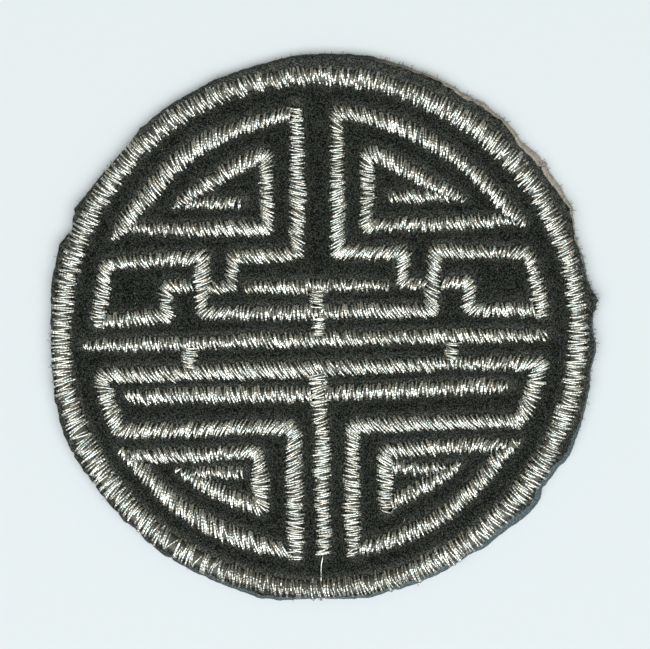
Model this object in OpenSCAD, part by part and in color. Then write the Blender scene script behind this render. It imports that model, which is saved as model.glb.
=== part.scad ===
// Round felt patch with a fret roundel worked in padded satin columns of metallic thread.
// The back of the felt lies at z = 0 and the worked face looks up. X is to the right, Y to the top of the motif.

/* [Felt] */
// Width of the felt at its widest place
felt_d = 63.5; // [45:0.5:100]
// Thickness of the felt
felt_t = 1.4; // [1:0.1:3]

/* [Thread columns] */
// Height of a full satin column over the felt
col_h = 0.55; // [0.3:0.05:0.9]
// Width of every column as a share of its charted width
col_share = 1; // [0.85:0.05:1]
// Width of the border ring as a share of its charted width
ring_share = 1; // [0.85:0.05:1.05]
// Chart width at which a column reaches its full height
full_w = 9; // [6:1:12]

/* [Hidden] */

felt_colour = [0.12, 0.13, 0.12];
thread_colour = [0.74, 0.74, 0.7];

// The stitch chart has whole steps, x to the right and y down. These are its middle and the felt's width on it.
chart_mid = [323.5, 327.5];
chart_span = 547;
chart_step = felt_d / chart_span;

// Cross-section of a column: share of its half width, share of its height
dome = [[-1, 0], [-0.92, 0.42], [-0.58, 0.85], [0, 1], [0.58, 0.85], [0.92, 0.42], [1, 0]];
sides = len(dome);

// Columns of the felt's outline: x, y
felt_outline = [
    [300, 56], [345, 56], [370, 58], [400, 66], [440, 79], [470, 92], [485, 100], [500, 117], [510, 128],
    [520, 145], [535, 160], [550, 180], [565, 200], [571, 208], [577, 240], [584, 260], [588, 280], [592, 290],
    [597, 296], [597, 302], [594, 312], [593, 325], [596, 342], [597, 350], [594, 362], [591, 372], [590, 390],
    [588, 400], [583, 420], [577, 437], [570, 455], [563, 462], [555, 470], [550, 478], [542, 487], [539, 497],
    [533, 507], [518, 520], [500, 533], [483, 547], [470, 553], [450, 567], [430, 577], [410, 585], [390, 591],
    [370, 597], [345, 599.5], [310, 598], [280, 599], [260, 596], [240, 589], [220, 581], [200, 572], [165, 553],
    [147, 540], [135, 527], [125, 522], [117, 512], [109, 505], [95, 487], [86, 475], [76, 461], [63, 436],
    [54, 400], [51, 365], [50, 342], [50, 322], [50.5, 283], [59, 243], [71.5, 229], [72.5, 210], [86, 193],
    [103, 172], [122, 151], [138.5, 130], [155, 115], [170, 104], [182, 97], [212, 80], [241, 69], [270, 61]];

// The border ring about its own hub, which is a little off the felt's middle: bearing clockwise from the right,
// radius of the centreline, width
ring_hub = [319.5, 329.5];
ring_chart = [
    [0, 258.5, 16.5], [12, 259, 16.5], [24, 258, 19], [36, 258, 20], [48, 258.5, 20], [60, 258.5, 19],
    [72, 258.5, 17], [84, 258, 17], [96, 258.5, 17.5], [108, 259.5, 17.5], [120, 260, 17], [132, 260.5, 18],
    [144, 260.5, 19], [156, 262, 19], [168, 261.5, 18], [180, 258.5, 17], [192, 257.5, 17], [204, 256.5, 17],
    [216, 256.5, 17], [228, 256, 17.5], [240, 256, 17], [252, 255, 16.5], [264, 254, 16], [276, 253, 17],
    [288, 251.5, 18], [300, 253, 18], [312, 255.5, 18], [324, 257, 17], [336, 257, 16.5], [348, 257.5, 15.5],
    [360, 258.5, 16.5]];
ring_parts = 72;
ring_run = [for (i = [0:ring_parts - 1])
    let (
        a = 360 * i / ring_parts,
        r = lookup(a, [for (row = ring_chart) [row[0], row[1]]]),
        w = lookup(a, [for (row = ring_chart) [row[0], row[2]]]))
    [ring_hub[0] + r * cos(a), ring_hub[1] + r * sin(a), w]];

// Columns of each run of stitches: x, y, width, bend. The bend is the radius of a turned corner, and on the
// first or last row the angle by which the end is cut askew.

upper_left_beak_run = [[243, 203, 10, 0], [222, 204, 11], [210, 203, 11], [195, 204, 10, 50]];

upper_left_coil_run = [
    [174, 209, 4, 0], [181, 203, 10], [190, 196, 13], [205, 187, 14], [215, 180, 14], [230, 170, 15], [245, 163, 15],
    [266, 153, 13, 8], [266, 185, 13], [267, 205, 12], [267, 229, 12, 8], [245, 229, 14], [225, 229, 14],
    [180, 231, 13], [160, 230, 11], [134, 229, 10, 42]];

upper_left_arc_run = [
    [113, 239, 5, 0], [121, 230, 14], [130, 219, 16], [140, 207, 16], [149, 196, 17], [160, 183, 17], [173, 168, 17],
    [190, 154, 16], [210, 142, 17], [230, 133, 15], [245, 128, 14], [262, 123, 13], [280, 117, 12],
    [296, 111, 12, 8], [297, 140, 12], [298, 170, 12], [299, 195, 14], [298, 215, 13], [297, 254, 12, 8],
    [270, 256, 13], [250, 257, 13], [233, 258, 12, 7], [232, 275, 11], [231, 288, 10, 7], [213, 289, 10, 0]];

upper_right_beak_run = [[390, 198, 9, 0], [404, 198, 11], [418, 197, 12], [433, 197, 10, -56]];

upper_right_coil_run = [
    [466, 201, 4, 0], [456, 196, 10], [446, 191, 13], [430, 184, 14], [415, 175, 15], [400, 166, 15], [385, 159, 15],
    [367, 152, 13, 8], [367, 175, 13], [368, 200, 13], [366, 229, 12, 8], [385, 226, 11], [400, 225, 13],
    [420, 225, 12], [440, 225, 13], [470, 223, 13], [486, 222, 12], [505, 221, 11, -52]];

upper_right_arc_run = [
    [526, 226, 5, 0], [519, 220, 12], [510, 213, 14], [501, 204, 14], [491, 193, 13], [475, 177, 14], [462, 165, 14],
    [450, 156, 15], [431, 144, 16], [412, 133, 15], [395, 126, 15], [375, 120, 14], [355, 115, 13],
    [336, 111, 12, 8], [337, 140, 12], [337, 180, 14], [338, 210, 14], [338, 253, 14, 9], [370, 254, 12],
    [390, 253, 14], [404, 252, 13, 8], [403, 268, 13], [402, 285, 11, 7], [423, 285, 9, 0]];

middle_run = [
    [192, 287, 11, 0], [165, 287, 11, 7], [166, 305, 13], [168, 317, 13, 8], [150, 318, 14], [130, 320, 13],
    [97, 324, 12, 8], [100, 303, 15], [103, 290, 14], [105, 266, 12, 8], [120, 263, 12], [140, 262, 12],
    [160, 260, 12], [202, 258, 14, 9], [202, 280, 16], [202, 295, 13], [202, 314, 12, 8], [230, 314, 12],
    [250, 314, 13], [310, 313, 13], [360, 312, 13], [400, 311, 13], [432, 311, 13, 8], [432, 290, 15],
    [434, 270, 12], [436, 250, 12, 8], [460, 252, 13], [480, 252, 11], [529, 254, 12, 8], [534, 275, 12],
    [538, 292, 15], [541, 311, 14, 8], [520, 310, 13], [500, 311, 12], [468, 311, 12, 8], [469, 298, 13],
    [469, 281, 12, 8], [443, 284, 11, 0]];

short_bar_run = [[246, 289, 8, 0], [260, 288, 11], [290, 288, 13], [330, 286, 12], [370, 286, 11], [389, 287, 9, 0]];
stem_upper_run = [[317, 296, 17, 0], [317, 305, 17, 0]];
stem_lower_run = [[319, 321, 15, 0], [319, 331, 15, 0]];

long_bar_run = [
    [84, 347, 7, 0], [100, 346, 11], [150, 345, 13], [210, 343, 12], [250, 341, 14], [300, 341, 13], [350, 339, 13],
    [400, 338, 13], [450, 337, 13], [500, 336, 13], [540, 336, 11], [549, 335, 9, 0]];

stub_left_run = [[190, 352, 18, 0], [189, 365, 18, 0]];
stub_right_run = [[453, 346, 18, 0], [452, 356, 16, 0]];

lower_outer_run = [
    [118, 451, 5, 0], [124, 456, 11], [130, 461, 13], [137, 467, 13], [150, 482, 13], [160, 493, 13], [170, 502, 13],
    [180, 510, 14], [195, 520, 15], [210, 528, 15], [225, 535, 15], [240, 540, 15], [255, 545, 15], [270, 549, 14],
    [296, 556, 14, 9], [294, 520, 14], [293, 470, 14], [293, 429, 13, 9], [250, 428, 13], [210, 430, 13],
    [170, 431, 13], [119, 432, 14, 11], [109, 405, 16], [104, 390, 16], [97, 376, 14, 9], [150, 375, 14],
    [200, 373, 13], [240, 372, 15], [300, 370, 15], [350, 368, 13], [410, 366, 12], [450, 364, 12], [500, 364, 13],
    [542, 363, 14, 9], [536, 382, 16], [530, 400, 16], [520, 422, 14, 11], [490, 422, 12], [450, 423, 13],
    [400, 425, 14], [352, 427, 14, 9], [352, 460, 14], [352, 490, 15], [352, 520, 15], [354, 552, 13, 9],
    [380, 545, 13], [395, 540, 14], [410, 533, 14], [425, 527, 15], [440, 518, 15], [450, 511, 14], [464, 499, 14],
    [478, 484, 14], [490, 470, 14], [498, 460, 14], [507, 451, 13], [514, 446, 10], [521, 441, 5, 0]];

lower_left_coil_run = [
    [141, 457, 11, -48], [158, 457, 13], [195, 456, 13], [220, 454, 12], [258, 452, 12, 9], [259, 470, 16],
    [261, 490, 16], [262, 508, 14], [240, 502, 14], [225, 496, 14], [210, 489, 14],
    [195, 481, 12], [184, 475, 9], [175, 471, 4, 0]];
lower_left_beak_run = [[202, 474, 10, -54], [220, 473, 12], [235, 473, 12], [245, 473, 11, 0]];

lower_right_coil_run = [
    [498, 446, 11, 46], [478, 446, 13], [450, 447, 14], [430, 448, 14], [410, 450, 14], [386, 452, 13, 9],
    [386, 465, 16], [386, 485, 15], [386, 505, 14], [403, 498, 14], [416, 491, 14], [430, 484, 13],
    [445, 475, 11], [454, 468, 9], [462, 463, 4, 0]];
lower_right_beak_run = [[434, 470, 10, 55], [415, 470, 12], [399, 468, 11, 0]];

inner_bar_left_run = [
    [127, 398, 10, 0], [150, 398, 12], [190, 396, 13], [250, 395, 13], [290, 395, 13], [306, 395, 12, 0]];
inner_bar_right_run = [
    [331, 394, 12, 0], [370, 393, 12], [410, 391, 12], [450, 388, 12], [490, 386, 12], [509, 387, 10, 0]];
centre_stem_run = [
    [318, 378, 21, 0], [318, 386, 21], [320, 400, 18], [319, 412, 16], [322, 430, 15], [322, 460, 17],
    [322, 480, 14], [323, 510, 13], [324, 540, 13], [323, 555, 13, 0]];

function at(row) = [(row[0] - chart_mid[0]) * chart_step, (chart_mid[1] - row[1]) * chart_step];
function unit(v) = v / norm(v);
function left_of(v) = [-v[1], v[0]];
function turned(v, a) = [v[0] * cos(a) - v[1] * sin(a), v[0] * sin(a) + v[1] * cos(a)];

// One section of a column at a place, across a direction, w wide
function section(place, across, w) = [
    for (d = dome) [
        place[0] + across[0] * d[0] * w / 2,
        place[1] + across[1] * d[0] * w / 2,
        felt_t + d[1] * col_h * min(1, w / (full_w * chart_step))]];

// A plain row: one section along the mitre of its two directions
function mitred(place, din, dout, w) =
    let (m = unit(left_of(din) + left_of(dout)))
    section(place, m / (m * left_of(din)), w);

// A turned corner: sections where its arc begins, halfway and where it ends
function cornered(place, din, dout, w, bend) =
    let (
        turn = acos(max(-1, min(1, din * dout))),
        reach = bend * tan(turn / 2),
        hub = place - din * reach + left_of(din) * bend * sign(left_of(din) * dout))
    [
        section(place - din * reach, left_of(din), w),
        section(hub + unit(place - hub) * bend, unit(left_of(din) + left_of(dout)), w),
        section(place + dout * reach, left_of(dout), w)];

// All sections of an open run, with its ends cut straight or askew
function open_sections(run, share) =
    let (
        last = len(run) - 1,
        spot = [for (row = run) at(row)],
        wide = [for (row = run) row[2] * chart_step * share],
        bend = [for (row = run) len(row) > 3 ? row[3] : 0],
        way = [for (i = [0:last - 1]) unit(spot[i + 1] - spot[i])])
    [
        section(spot[0], turned(left_of(way[0]), -bend[0]) / cos(bend[0]), wide[0]),
        for (i = [1:1:last - 1]) each bend[i] > 0
            ? cornered(spot[i], way[i - 1], way[i], wide[i], bend[i] * chart_step)
            : [mitred(spot[i], way[i - 1], way[i], wide[i])],
        section(spot[last], turned(left_of(way[last - 1]), -bend[last]) / cos(bend[last]), wide[last])];

// The quad between two sections' edges as two triangles
function quad(a, b, c, d) = [[a, c, b], [a, d, c]];

module column(run, share) {
    rings = open_sections(run, share);
    n = len(rings);
    points = [for (r = rings) each r];
    skin = [for (i = [0:n - 2]) for (j = [0:sides - 1]) each quad(
        i * sides + j, (i + 1) * sides + j, (i + 1) * sides + (j + 1) % sides, i * sides + (j + 1) % sides)];
    first_cap = [[for (j = [sides - 1:-1:0]) j]];
    last_cap = [[for (j = [0:sides - 1]) (n - 1) * sides + j]];
    color(thread_colour)
        polyhedron(points, concat(skin, first_cap, last_cap));
}

module closed_column(run, share) {
    n = len(run);
    spot = [for (row = run) at(row)];
    way = [for (i = [0:n - 1]) unit(spot[(i + 1) % n] - spot[i])];
    points = [for (i = [0:n - 1]) each mitred(
        spot[i], way[(i + n - 1) % n], way[i], run[i][2] * chart_step * share)];
    skin = [for (i = [0:n - 1]) for (j = [0:sides - 1]) each quad(
        i * sides + j, ((i + 1) % n) * sides + j,
        ((i + 1) % n) * sides + (j + 1) % sides, i * sides + (j + 1) % sides)];
    color(thread_colour)
        polyhedron(points, skin);
}

module felt_ground() {
    color(felt_colour)
        linear_extrude(felt_t)
            polygon([for (row = felt_outline) at(row)]);
}

module border_ring() { closed_column(ring_run, ring_share); }
module upper_left_beak() { column(upper_left_beak_run, col_share); }
module upper_left_coil() { column(upper_left_coil_run, col_share); }
module upper_left_arc() { column(upper_left_arc_run, col_share); }
module upper_right_beak() { column(upper_right_beak_run, col_share); }
module upper_right_coil() { column(upper_right_coil_run, col_share); }
module upper_right_arc() { column(upper_right_arc_run, col_share); }
module middle_fret() { column(middle_run, col_share); }
module short_bar() { column(short_bar_run, col_share); }
module stem_upper() { column(stem_upper_run, col_share); }
module stem_lower() { column(stem_lower_run, col_share); }
module long_bar() { column(long_bar_run, col_share); }
module stub_left() { column(stub_left_run, col_share); }
module stub_right() { column(stub_right_run, col_share); }
module lower_outer_fret() { column(lower_outer_run, col_share); }
module lower_left_coil() { column(lower_left_coil_run, col_share); }
module lower_left_beak() { column(lower_left_beak_run, col_share); }
module lower_right_coil() { column(lower_right_coil_run, col_share); }
module lower_right_beak() { column(lower_right_beak_run, col_share); }
module inner_bar_left() { column(inner_bar_left_run, col_share); }
module inner_bar_right() { column(inner_bar_right_run, col_share); }
module centre_stem() { column(centre_stem_run, col_share); }

felt_ground();
border_ring();
upper_left_beak();
upper_left_coil();
upper_left_arc();
upper_right_beak();
upper_right_coil();
upper_right_arc();
middle_fret();
short_bar();
stem_upper();
stem_lower();
long_bar();
stub_left();
stub_right();
lower_outer_fret();
lower_left_coil();
lower_left_beak();
lower_right_coil();
lower_right_beak();
inner_bar_left();
inner_bar_right();
centre_stem();
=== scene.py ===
# Round embroidered patch: a fret roundel inside a ring, worked in silver metallic thread on black felt.
import math
from random import Random

import bpy
from mathutils import Matrix, Vector, kdtree, noise


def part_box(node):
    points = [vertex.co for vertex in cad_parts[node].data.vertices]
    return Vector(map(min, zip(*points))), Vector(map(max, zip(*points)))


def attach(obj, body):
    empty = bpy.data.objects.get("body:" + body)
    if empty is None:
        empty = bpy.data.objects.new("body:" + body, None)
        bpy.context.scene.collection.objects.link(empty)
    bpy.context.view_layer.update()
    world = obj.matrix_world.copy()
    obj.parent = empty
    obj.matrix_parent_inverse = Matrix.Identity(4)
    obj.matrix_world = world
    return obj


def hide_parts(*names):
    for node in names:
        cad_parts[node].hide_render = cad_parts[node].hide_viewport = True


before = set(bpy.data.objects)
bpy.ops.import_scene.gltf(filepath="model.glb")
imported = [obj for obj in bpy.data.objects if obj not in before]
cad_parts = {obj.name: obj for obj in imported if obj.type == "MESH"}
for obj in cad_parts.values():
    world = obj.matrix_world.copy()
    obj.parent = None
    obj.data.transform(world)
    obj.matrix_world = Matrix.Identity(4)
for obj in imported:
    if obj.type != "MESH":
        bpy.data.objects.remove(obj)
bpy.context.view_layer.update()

# Driving sizes in metres. The stitch chart's steps are the photograph's pixels, x to the right and y down.
felt_width = 0.0635
chart_span = 547
chart_step = felt_width / chart_span
chart_middle_x = 323.5
chart_middle_y = 327.5
millimetre = 0.001

felt_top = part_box("felt_ground")[1].z
column_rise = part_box("border_ring")[1].z - felt_top
full_rise_width = 9 * chart_step

thread_thickness = 0.25 * millimetre
pass_pitch = 0.232 * millimetre
short_pass_pitch = 0.165 * millimetre
short_run = 3 * millimetre
needle_depth = 0.36 * millimetre
dots_apart = 0.05 * millimetre
felt_pull = 0.15 * millimetre
mitre_share = 0.92
sharpest_mitre = 82
bend_crowding = 1.9
upright_crowding = 1.16
upright_lean = 0.35
blunt_half_width = 3.5 * chart_step
stitches_up = Vector((0, 0.6, 0))
crest_lean = Vector((-0.9, -0.45, 0)) * chart_step
ring_bow = 0.35 * chart_step
felt_swell_width = 1.1 * millimetre
bobbin_thickness = 0.11 * millimetre
back_hollow = 0.13 * millimetre
lint_bits = 90

# Humps of the cut edge: size, bearing in degrees anticlockwise from the right, spread to either side.
# First how far the edge slopes out past the outline, then how much wider it is, both in millimetres, and last
# how much more it frays.
# At the upper right the edge slopes out furthest and is wider on a short stretch: a sheet that carries the tan
# painted shadow.
lip_humps = [(0.75, 37, 18), (0.20, 82, 26), (0.10, 15, 20), (0.32, -46, 34), (0.40, -117, 30)]
least_cut_width = 0.19
cut_width_humps = [(0.52, -55, 66), (0.12, 100, 60), (0.46, 57, 10)]
least_fray = 0.04
fray_humps = [(1.0, 8, 40), (0.6, 60, 50), (0.4, 148, 14)]

# The photograph's frame on the chart
photo_wide = 650
photo_middle_x = 325
photo_middle_y = 324.5
lens_length = 200
sensor_width = 36

# The felt's outline: x, y
felt_outline = [
    (300, 54.7), (345, 54.7), (370, 57), (400, 65), (440, 79), (470, 92), (485, 100), (500, 117), (510, 128),
    (520, 145), (535, 160), (550, 180), (565, 200), (571, 208), (577, 240), (584, 260), (588, 280),
    (592, 290), (597, 296), (597, 302), (594, 312), (593, 325), (596, 342), (597, 350), (594, 362),
    (591, 372), (590, 390), (588, 400), (583, 420), (577, 437), (570, 455), (563, 462), (555, 470),
    (550, 478), (542, 487), (539, 497), (533, 507), (518, 520), (500, 533), (483, 547), (470, 553),
    (450, 567), (430, 578), (410, 586.5), (390, 592.5), (370, 598.5), (345, 600), (310, 599.5), (280, 600),
    (260, 597), (240, 589), (220, 581), (200, 572), (165, 553), (147, 540), (135, 527), (125, 522),
    (117, 512), (109, 505), (95, 487), (86, 475), (76, 461), (63, 436), (54, 400), (51, 365), (50, 342),
    (50, 322), (50.5, 283), (59, 243), (71.5, 229), (72.5, 210), (86, 193), (103, 172), (122, 151),
    (138.5, 130), (155, 115), (170, 104), (182, 97), (212, 80), (241, 69), (270, 61)]

# Nicks in the cut edge, or tufts where the depth is less than nothing: x, y, depth and width in chart steps
edge_nicks = [
    (74, 453, 2.4, 5), (96, 484, 2.6, 6), (88, 474, 1.2, 4), (118, 512, 1.5, 4), (141, 531, 1.6, 5),
    (152, 544, 1.2, 4), (172, 557, 1.4, 5), (72, 212, 2.5, 6), (139, 127, -2.2, 5), (318, 600, 1.2, 4),
    (395, 590, 1.4, 5), (597, 309, -2.6, 8), (597, 301, -1.8, 5), (546, 163, -2.4, 5), (473, 94, 3.6, 74)]

# The border ring about its hub: bearing clockwise from the right, radius of its middle line, width. It is
# widest at the lower right and lower left, and its top is a little flattened.
ring_hub_x = 319.5
ring_hub_y = 329.5
ring_chart = [
    (0, 259, 17), (30, 260, 19.5), (60, 260, 19), (90, 260, 17), (120, 260.5, 18), (150, 261, 20),
    (168, 261, 18.5), (182, 258, 17), (210, 256, 18), (240, 255.5, 17), (270, 253, 16.5), (295, 253, 18.5),
    (320, 257, 19), (345, 258, 16), (360, 259, 17)]

# Each run's middle line: x, y, width and, at a corner, the radius of its bend. Where one arm of a corner runs
# on to the outer edge and the other butts against it, the radius is 0 and the word tells which: "in" for the
# arm that comes in, "out" for the arm that leaves.
runs = {
    "upper_left_beak": [(243, 203, 10), (222, 204, 11), (210, 203, 11), (195, 204, 10), (187, 205, 7)],
    "upper_left_coil": [
        (174, 209, 4), (181, 203, 10), (190, 196, 13), (205, 187, 14), (215, 180, 14), (230, 170, 15),
        (245, 163, 15), (266, 153, 13, 5), (266, 185, 13), (267, 205, 12), (267, 229, 12, 2), (245, 229, 14),
        (225, 229, 14), (180, 231, 13), (160, 230, 11), (134, 229, 10), (126, 231, 7)],
    "upper_left_arc": [
        (113, 239, 5), (121, 230, 14), (129, 218, 16), (139, 206, 16), (148, 195, 17), (159, 182, 17),
        (172, 167, 17), (189, 153, 17), (209, 141, 17), (230, 132, 15), (245, 127, 14), (262, 122, 13),
        (280, 117, 12), (296, 112, 12, 0, "out"), (297, 140, 13), (297.5, 170, 13), (298, 195, 15),
        (297.5, 215, 14), (297, 254, 12, 3), (270, 256, 13), (250, 257, 13), (233, 258, 12, 4),
        (232, 275, 11), (232, 287, 11, 2), (213, 289, 10)],
    "upper_right_beak": [(390, 198, 9), (404, 198, 11), (418, 197, 12), (438, 197, 10), (449, 198, 6)],
    "upper_right_coil": [
        (466, 201, 4), (456, 196, 10), (446, 191, 13), (430, 184, 14), (415, 175, 15), (400, 166, 15),
        (385, 159, 15), (367, 152, 13, 5), (367, 175, 13), (368, 200, 13), (366, 228, 12, 2), (385, 226, 11),
        (400, 225, 13), (420, 225, 12), (440, 225, 13), (470, 223, 13), (486, 222, 12), (505, 221, 11),
        (515, 222, 7)],
    "upper_right_arc": [
        (526, 226, 5), (519, 219, 12), (511, 212, 13), (502, 203, 13), (492, 192, 13), (476, 176, 13),
        (463, 164, 13), (451, 155, 14), (432, 143, 15), (412.5, 132, 15), (395.5, 125, 15), (375, 119, 14),
        (355, 114.5, 13), (336, 112, 12, 3), (337, 140, 12), (337, 180, 14), (338, 210, 14),
        (338, 253, 14, 3), (370, 254, 12), (390, 253, 14), (404, 252, 13, 5), (403, 268, 13),
        (402, 284, 11, 2), (423, 285, 9)],
    "middle_fret": [
        (192, 287, 11), (165, 287, 12, 4), (166, 305, 13), (168, 317, 13, 2), (150, 318, 14), (130, 320, 13),
        (98, 323, 12, 0, "out"), (100, 303, 15), (103, 290, 14), (105, 266, 12, 8), (120, 263, 12),
        (140, 262, 12), (160, 260, 12), (203, 258, 14, 3), (202, 280, 16), (202, 295, 13), (202, 314, 12, 3),
        (230, 314, 12), (250, 314, 13), (310, 313, 13), (360, 312, 13), (400, 311, 13), (432, 311, 13, 3),
        (432, 290, 15), (434, 270, 12), (435, 251, 13, 4), (460, 252, 13), (480, 252, 11), (529, 254, 12, 8),
        (534, 275, 12), (538, 292, 15), (542, 310, 14, 0, "in"), (520, 310, 13), (500, 311, 12),
        (468, 309, 12, 2), (469, 298, 13), (469, 281, 12, 6), (443, 284, 11)],
    "short_bar": [
        (246, 289, 8), (260, 288, 11), (290, 288, 13), (330, 286, 12), (370, 286, 11), (389, 287, 9)],
    "stem_upper": [(317, 296, 14), (317, 305, 13)],
    "stem_lower": [(318.5, 321, 13), (319, 331, 11)],
    "long_bar": [
        (84, 347, 7), (100, 346, 11), (150, 345, 13), (210, 343, 12), (250, 341, 14), (300, 341, 13),
        (350, 339, 13), (400, 338, 13), (450, 337, 13), (500, 336, 13), (540, 336, 11), (549, 335, 9)],
    "stub_left": [(190, 352, 14), (189, 365, 12)],
    "stub_right": [(453, 346, 14), (452, 356, 12)],
    "lower_outer_fret": [
        (118, 451, 5), (124, 456, 11), (131, 460, 14), (138, 466, 14), (151, 481, 14), (161, 492, 14),
        (171, 501, 15), (181, 508.5, 16), (196, 518.5, 17), (211, 526.5, 17), (226, 533.5, 17),
        (241, 538.5, 17), (256, 544, 16), (270, 549, 14), (296, 552, 15, 0, "out"), (295, 520, 16),
        (294, 470, 16), (294, 429, 14, 8), (250, 428, 13), (210, 430, 13), (170, 431, 13), (119, 432, 14, 10),
        (109, 405, 16), (104, 390, 16), (97, 376, 14, 7), (150, 375, 14), (200, 373, 13), (240, 372, 15),
        (300, 370, 15), (350, 368, 13), (410, 366, 12), (450, 364, 12), (500, 364, 13), (541, 363, 14, 4),
        (536, 382, 16), (530, 400, 16), (520, 422, 14, 9), (490, 422, 12), (450, 423, 13), (400, 425, 14),
        (352, 427, 14, 6), (352, 460, 14), (352, 490, 15), (352, 520, 15), (354, 551, 13, 0, "in"),
        (380, 545, 13), (395, 540, 14), (410, 533, 14), (425, 527, 15), (440, 518, 15), (450, 511, 14),
        (464, 499, 14), (478, 484, 14), (490, 470, 14), (498, 460, 14), (507, 451, 13), (514, 446, 10),
        (521, 441, 5)],
    "lower_left_coil": [
        (132, 456, 7), (141, 457, 11), (158, 457, 13), (195, 456, 13), (220, 454, 12), (258, 452, 12, 7),
        (259, 470, 16), (261, 490, 16), (262, 509, 14, 2), (240, 502, 14), (225, 496, 14), (210, 489, 14),
        (195, 481, 12), (184, 475, 9), (175, 471, 4)],
    "lower_left_beak": [(193, 474, 7), (202, 474, 10), (220, 473, 12), (235, 473, 12), (245, 473, 11)],
    "lower_right_coil": [
        (507, 445, 7), (498, 446, 11), (478, 446, 13), (450, 447, 14), (430, 448, 14), (410, 450, 14),
        (386, 452, 13, 3), (386, 465, 16), (386, 485, 15), (386, 506, 14, 0, "in"), (403, 498, 14),
        (416, 491, 14), (430, 484, 13), (445, 475, 11), (454, 468, 9), (462, 463, 4)],
    "lower_right_beak": [(446, 467, 7), (436, 469, 10), (415, 470, 12), (399, 468, 11)],
    "inner_bar_left": [
        (127, 398, 10), (150, 398, 13), (190, 396, 15), (250, 395, 15), (290, 395, 15), (306, 395, 13)],
    "inner_bar_right": [
        (331, 394.7, 13), (370, 392.7, 14), (410, 390.7, 14), (450, 388.2, 14), (490, 386.7, 14),
        (509, 387, 10)],
    "centre_stem": [
        (318, 378, 18), (318, 386, 18), (320, 400, 15), (319, 412, 14), (322, 430, 14), (322, 460, 16),
        (322, 480, 14), (323, 510, 13), (324, 540, 13), (323, 555, 13)],
}

# Slant of the stitches from square across the run, in degrees anticlockwise: the usual lean of each stretch,
# in steps of five, at a place on it. Where the lean changes along a stretch it has two or three.
slants = {
    "border_ring": [
        (578, 329, 10), (562, 418, 5), (417, 569, 5), (311, 588, 15), (100, 470, 15), (71, 263, 5),
        (145, 142, 5), (238, 88, 15), (414, 96, 10)],
    "upper_left_beak": [(215, 204, -5)],
    "upper_left_coil": [(215, 180, 10), (266, 186, 5), (245, 229, 40), (180, 231, 15)],
    "upper_left_arc": [
        (150, 195, -10), (262, 122, -20), (297, 150, 0), (298, 225, -20), (262, 256, 35), (232, 272, -20),
        (222, 288, 35)],
    "upper_right_beak": [(412, 198, 30)],
    "upper_right_coil": [(430, 184, 20), (367, 180, 0), (390, 226, -15), (460, 224, 20)],
    "upper_right_arc": [
        (490, 190, 25), (400, 130, 30), (337, 150, 10), (338, 225, 30), (371, 254, -25), (403, 268, 40),
        (412, 285, -15)],
    "middle_fret": [
        (178, 287, 25), (166, 300, 0), (130, 320, 10), (102, 300, 0), (135, 262, 30), (182, 259, -20),
        (202, 285, 25), (250, 314, -5), (330, 313, 10), (400, 311, 35), (433, 285, -20), (480, 252, 35),
        (536, 280, 10), (505, 310, 20), (469, 295, 35), (456, 282, -20)],
    "short_bar": [(260, 288, 25), (330, 286, 10)],
    "stem_upper": [(317, 300, -5)],
    "stem_lower": [(319, 326, 5)],
    "long_bar": [(95, 346, 10), (315, 340, 25), (535, 336, 25)],
    "lower_outer_fret": [
        (150, 480, 30), (240, 540, 35), (294, 525, 0), (294, 450, 35), (260, 429, -25), (140, 431, -15),
        (105, 395, 0), (150, 375, 35), (390, 367, 35), (450, 364, 20), (510, 364, -10), (534, 390, 5),
        (480, 422, 40), (380, 425, 40), (352, 450, -15), (352, 530, 10), (375, 547, -15), (440, 518, 0),
        (490, 470, -15)],
    "lower_left_coil": [(165, 457, 35), (225, 454, 0), (260, 480, 10), (225, 496, 20)],
    "lower_left_beak": [(224, 473, 10)],
    "lower_right_coil": [(480, 446, -15), (415, 450, 30), (386, 480, -5), (425, 487, -5)],
    "lower_right_beak": [(416, 469, 20)],
    "inner_bar_left": [(138, 398, 25), (290, 395, 15)],
    "inner_bar_right": [(410, 390, 0)],
    "centre_stem": [(322, 460, 15)],
}

# Places on the border ring where the passes part and the padding shows: x, y, width of the gap in chart steps
ring_partings = [
    (174, 541, 9), (198, 560, 6), (214, 568, 5), (226, 573, 4), (116, 494, 3), (76, 436, 3.5), (512, 150, 3)]


def charted(x, y, z=0.0):
    """A place on the stitch chart, in the row frame."""
    return Vector(((x - chart_middle_x) * chart_step, (chart_middle_y - y) * chart_step, z))


def left_of(way):
    return Vector((-way.y, way.x, 0))


def eased(share):
    share = max(0.0, min(1.0, share))
    return share * share * (3 - 2 * share)


# Node trees


class Value:
    """One output of a node tree, on which Python's signs add Math nodes."""

    def __init__(self, plan, socket):
        self.plan = plan
        self.socket = socket

    def math(self, operation, *others):
        inputs = dict(enumerate((self,) + others))
        return self.plan.add("ShaderNodeMath", {"operation": operation}, inputs)

    def kept(self, least=0.0, most=1.0):
        """The value held between two limits."""
        return self.math("MAXIMUM", least).math("MINIMUM", most)

    def other(self, name):
        """Another output of the same node."""
        return self.plan.output(self.socket.node, name)

    def __add__(self, other):
        return self.math("ADD", other)

    __radd__ = __add__

    def __sub__(self, other):
        return self.math("SUBTRACT", other)

    def __rsub__(self, other):
        return self.plan.add("ShaderNodeMath", {"operation": "SUBTRACT"}, {0: other, 1: self})

    def __mul__(self, other):
        return self.math("MULTIPLY", other)

    __rmul__ = __mul__

    def __truediv__(self, other):
        return self.math("DIVIDE", other)

    def __pow__(self, other):
        return self.math("POWER", other)


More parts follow.
